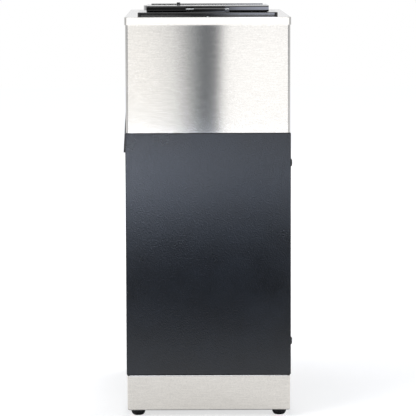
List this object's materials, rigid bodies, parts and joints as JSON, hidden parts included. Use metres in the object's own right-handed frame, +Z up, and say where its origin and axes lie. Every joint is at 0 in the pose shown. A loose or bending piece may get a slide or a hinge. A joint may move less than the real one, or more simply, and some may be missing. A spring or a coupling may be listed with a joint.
{
  "type": "pourover coffee brewer",
  "caption": "Narrow pourover coffee brewer with a hinged pour-in lid, sliding brew funnel, warmers and rocker switches.",
  "frame": {"origin": "centre of the footprint, on the counter", "axes": "+Z up, front to -Y, rear to +Y"},
  "size_m": [0.2146, 0.433, 0.5084],
  "materials": {
    "brushed_stainless": "brushed, satin",
    "textured_black": "fine textured powder coat",
    "gloss_black": "moulded, glossy",
    "matte_black": "moulded, fine matt grain",
    "zinc_steel": "zinc plated",
    "blackened_steel": "black oxide",
    "rubber_black": "moulded rubber",
    "gland_nylon": "moulded nylon",
    "tank_steel": "drawn, satin",
    "heater_sheath": "dull sheath",
    "fibre_wrap": "felted wrap",
    "silicone_tube": "translucent silicone",
    "brass_fitting": "turned",
    "warmer_enamel": "fired enamel",
    "control_grey": "moulded",
    "wire_jacket": "extruded jacket",
    "rocker_gloss": "moulded, glossy",
    "lamp_lens": "clear red moulding"
  },
  "bodies": {
    "body": {"base_floor": "zinc_steel", "base_shell": "brushed_stainless", "basin_strainer": "tank_steel", "cap_rivet": "zinc_steel", "cord_gland": "gland_nylon", "cover_nuts": "zinc_steel", "cover_screws": "blackened_steel", "fascia": "matte_black", "fascia_screws": "zinc_steel", "fill_tube": "tank_steel", "foot_nuts": "zinc_steel", "foot_screws": "zinc_steel", "funnel_rails": "zinc_steel", "gland_nut": "zinc_steel", "head_floor": "zinc_steel", "head_hood": "brushed_stainless", "hinge_pin": "zinc_steel", "lid_frame": "gloss_black", "limit_thermostat": "control_grey", "lower_warmer_clamp": "zinc_steel", "lower_warmer_element": "heater_sheath", "lower_warmer_nut": "zinc_steel", "lower_warmer_plate": "warmer_enamel", "lower_warmer_seal": "rubber_black", "pour_basin": "tank_steel", "rail_screws": "zinc_steel", "ready_lamp": "lamp_lens", "rear_cover": "textured_black", "rubber_feet": "rubber_black", "spray_fitting": "brass_fitting", "spray_head": "tank_steel", "spray_nut": "zinc_steel", "spray_tube": "silicone_tube", "supply_lead": "wire_jacket", "switch_harness": "wire_jacket", "switch_housings": "matte_black", "tank_bolts": "zinc_steel", "tank_gasket": "rubber_black", "tank_heater": "heater_sheath", "tank_insulation": "fibre_wrap", "tank_lid": "tank_steel", "tank_nuts": "zinc_steel", "tank_shelf": "zinc_steel", "terminal_block": "gland_nylon", "thermostat": "control_grey", "top_cap": "brushed_stainless", "trunk_frame": "brushed_stainless", "upper_warmer_clamp": "zinc_steel", "upper_warmer_element": "heater_sheath", "upper_warmer_nut": "zinc_steel", "upper_warmer_plate": "warmer_enamel", "upper_warmer_seal": "rubber_black", "water_tank": "tank_steel"},
    "lid": {"lid": "gloss_black"},
    "funnel": {"brew_funnel": "matte_black", "filter_basket": "tank_steel"},
    "brew_switch": {"brew_rocker": "rocker_gloss"},
    "upper_switch": {"upper_rocker": "rocker_gloss"},
    "lower_switch": {"lower_rocker": "rocker_gloss"}
  },
  "joints": [
    {"name": "lid_hinge", "type": "hinge", "parent": "body", "child": "lid", "pos_m": [0, 0.1949, 0.502], "axis": [-1, 0, 0], "range_deg": [0, 100]},
    {"name": "funnel_slide", "type": "slide", "parent": "body", "child": "funnel", "axis": [0, -1, 0], "range_m": [0, 0.16]},
    {"name": "upper_rocker_pivot", "type": "hinge", "parent": "body", "child": "upper_switch", "pos_m": [0.052, -0.1525, 0.4433], "axis": [-1, 0, 0], "range_deg": [0, 14]},
    {"name": "brew_rocker_pivot", "type": "hinge", "parent": "body", "child": "brew_switch", "pos_m": [0, -0.1525, 0.4433], "axis": [-1, 0, 0], "range_deg": [0, 14]},
    {"name": "lower_rocker_pivot", "type": "hinge", "parent": "body", "child": "lower_switch", "pos_m": [-0.052, -0.1525, 0.4433], "axis": [-1, 0, 0], "range_deg": [0, 14]}
  ]
}
